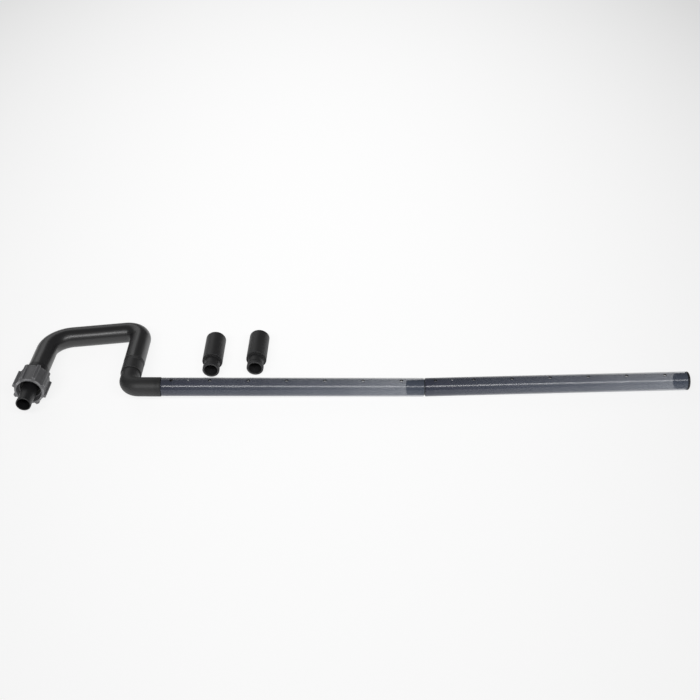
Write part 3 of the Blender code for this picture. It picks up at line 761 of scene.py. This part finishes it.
def addClampRing():
    front = nutLip - elbow["faceGap"]
    back = -tail["shoulder"] + 2 * elbow["faceGap"] + tail["gasket"]
    outer, inner, teeth = clamp["outer"], clamp["inner"], clamp["teeth"]
    pitch = (front - back - 0.8) / teeth
    bite = []
    for k in range(teeth):
        low = back + 0.4 + k * pitch
        bite += [(inner, low, 0.05), (inner + clamp["toothDepth"], low + pitch * 0.9, 0.05)]
    outline = soften([(outer - clamp["taper"], front), (outer, front - clamp["taper"]), (outer, back),
                      (inner, back), *bite, (inner, front)], 0.2)
    half = math.asin(clamp["slit"] / 2 / inner)
    angles = [half + (fullTurn - 2 * half) * k / 96 for k in range(97)]
    mesh = turnedMesh("clampRing", leftLine, outline, angles, ends=True)
    addPiece("clampRing", mesh, nutGrey, "clamp_ring", "nut_grey", "clamp_ring")


addNut()
addClampRing()
print("hose tail and nut made")


# Loose adapters

adapter = {
    "radius": 11.3, "sleeve": 40.8, "reach": 15.2, "neck": 8.6, "rim": 9.4, "rimLength": 3.6, "bore": 7.3,
    "socket": 30.0, "recess": 1.0, "recessIn": 0.6, "recessOut": 0.9, "flash": 0.05,
}


def addAdapter(number):
    name, node = f"adapter{number}", f"adapter_{number}"
    rim = mounts[f"{node}_spigot_rim"]
    heading = Vector(rim["axis"]).normalized()
    low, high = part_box(f"{node}_o_ring")
    ringFromEnd = adapter["rimLength"] + seal["section"] + 0.1
    origin = (low + high) / 2 / mm + heading * ringFromEnd
    line = straightLine(origin, heading, Vector((0, 0, 1)))
    shoulder, radius, neck = -adapter["reach"], adapter["radius"], adapter["neck"]
    rear, ringAt = shoulder - adapter["sleeve"], -ringFromEnd
    ringRadius = adapter["rim"] - seal["section"]
    floor = ringRadius - seal["section"] - 0.1
    recessIn, recessOut = neck + adapter["recessIn"], radius - adapter["recessOut"]
    outline = soften([
        (adapter["rim"], 0, 0.5), (adapter["rim"], -adapter["rimLength"], 0.2),
        (floor, -adapter["rimLength"]),
        (floor, ringAt - seal["groove"]), (neck, ringAt - seal["groove"], 0.2), (neck, shoulder, 0.15),
        (recessIn, shoulder, 0.1), (recessIn + 0.1, shoulder - adapter["recess"], 0.3),
        (recessOut - 0.1, shoulder - adapter["recess"], 0.3), (recessOut, shoulder, 0.1),
        (radius, shoulder, 0.5), (radius, rear, 0.5), (socketRadius, rear, 0.6),
        (socketRadius, rear + adapter["socket"], 0.2), (adapter["bore"], rear + adapter["socket"] + 2.0),
        (adapter["bore"], 0, 0.4),
    ], 0.2)
    marks = (math.pi / 2, 3 * math.pi / 2)
    mesh = turnedMesh(name, line, outline, evenAngles(96, marks), mouldLine(adapter["flash"], *marks))
    addPiece(name, mesh, mouldedBlack, node, "moulded_black", node)
    addSeal(f"{name}Seal", line, ringAt, ringRadius, node, f"{node}_o_ring")


mounts = {mount["name"]: mount for mount in frame["record"]["mounts"]}
addAdapter(1)
addAdapter(2)
print("adapters made")


# Camera, floor and light

viewpoint = {
    "fromJoint": (-79.1, 80.9, -10.0), "distance": 1188.9, "down": 38.155, "roll": -1.41, "lens": 53.33,
}


def addCamera():
    down, roll = math.radians(viewpoint["down"]), math.radians(viewpoint["roll"])
    forward = Vector((0, math.cos(down), -math.sin(down)))
    level, up = Vector((1, 0, 0)), Vector((0, math.sin(down), math.cos(down)))
    right = level * math.cos(roll) + up * math.sin(roll)
    top = up * math.cos(roll) - level * math.sin(roll)
    camera = bpy.data.objects.new("camera", bpy.data.cameras.new("camera"))
    camera.data.lens = viewpoint["lens"]
    camera.data.sensor_width = 36.0
    camera.data.clip_start = 0.01
    place = (barJoint + Vector(viewpoint["fromJoint"]) - forward * viewpoint["distance"]) * mm
    axes = Matrix((right, top, -forward)).transposed().to_4x4()
    camera.matrix_world = Matrix.Translation(place) @ axes
    bpy.context.scene.collection.objects.link(camera)
    bpy.context.scene.camera = camera


floorLook = {
    "size": 8.0, "below": 0.0002, "colour": 0.2, "glow": 0.905, "fade": 0.42,
    "farGlow": 0.3,  # the glow never fades below this
    "stretch": (1.0, 0.55, 1.0), "shift": (0.04, -0.29, 0),
}


def addFloor():
    mesh = bpy.data.meshes.new("table")
    half = floorLook["size"] / 2
    corners = [(-half, -half, 0), (half, -half, 0), (half, half, 0), (-half, half, 0)]
    mesh.from_pydata(corners, [], [(0, 1, 2, 3)])
    floor = bpy.data.objects.new("table", mesh)
    floor.location.z = -floorLook["below"]
    bpy.context.scene.collection.objects.link(floor)
    # the table glows as a painted pool of light, brightest at one spot and fading outwards, never below
    # farGlow
    shading = Shading("paleTable")
    distance = shading.node("VectorMath", operation="LENGTH")
    place = shading.coordinates(floorLook["stretch"], False, floorLook["shift"])
    shading.link(place, distance.inputs[0])
    fading = shading.math("MULTIPLY", shading.math("POWER", distance.outputs["Value"], 2), floorLook["fade"])
    glow = shading.math("SUBTRACT", floorLook["glow"], fading)
    shading.feed("Emission Strength", shading.math("MAXIMUM", glow, floorLook["farGlow"]))
    shade = floorLook["colour"]
    shading.fix(Base_Color=(shade, shade, shade, 1), Roughness=0.9, Emission_Color=(1, 1, 1, 1),
                Specular_IOR_Level=0.0)
    mesh.materials.append(shading.material)


lamps = {
    "frontStrip": {"place": (0.0, -0.98, 1.05), "aim": (0.0, 0.0, 0.0), "size": (1.8, 0.32), "power": 13.5},
    "leftBack": {"place": (-1.1, 1.6, 1.15), "aim": (-0.3, 0.0, 0.0), "size": (1.4, 1.0), "power": 4.5},
}


def addLamps():
    for name, lamp in lamps.items():
        light = bpy.data.lights.new(name, "AREA")
        light.shape = "RECTANGLE"
        light.size, light.size_y = lamp["size"]
        light.energy = lamp["power"]
        holder = bpy.data.objects.new(name, light)
        holder.location = lamp["place"]
        aim = Vector(lamp["aim"]) - holder.location
        holder.rotation_euler = aim.to_track_quat("-Z", "Y").to_euler()
        bpy.context.scene.collection.objects.link(holder)
    world = bpy.data.worlds.new("studio")
    world.use_nodes = True
    world.node_tree.nodes["Background"].inputs["Color"].default_value = (0.5, 0.5, 0.5, 1)
    world.node_tree.nodes["Background"].inputs["Strength"].default_value = 0.25
    bpy.context.scene.world = world


addCamera()
addFloor()
addLamps()
bpy.context.scene.view_settings.view_transform = "Standard"
print("stage set")
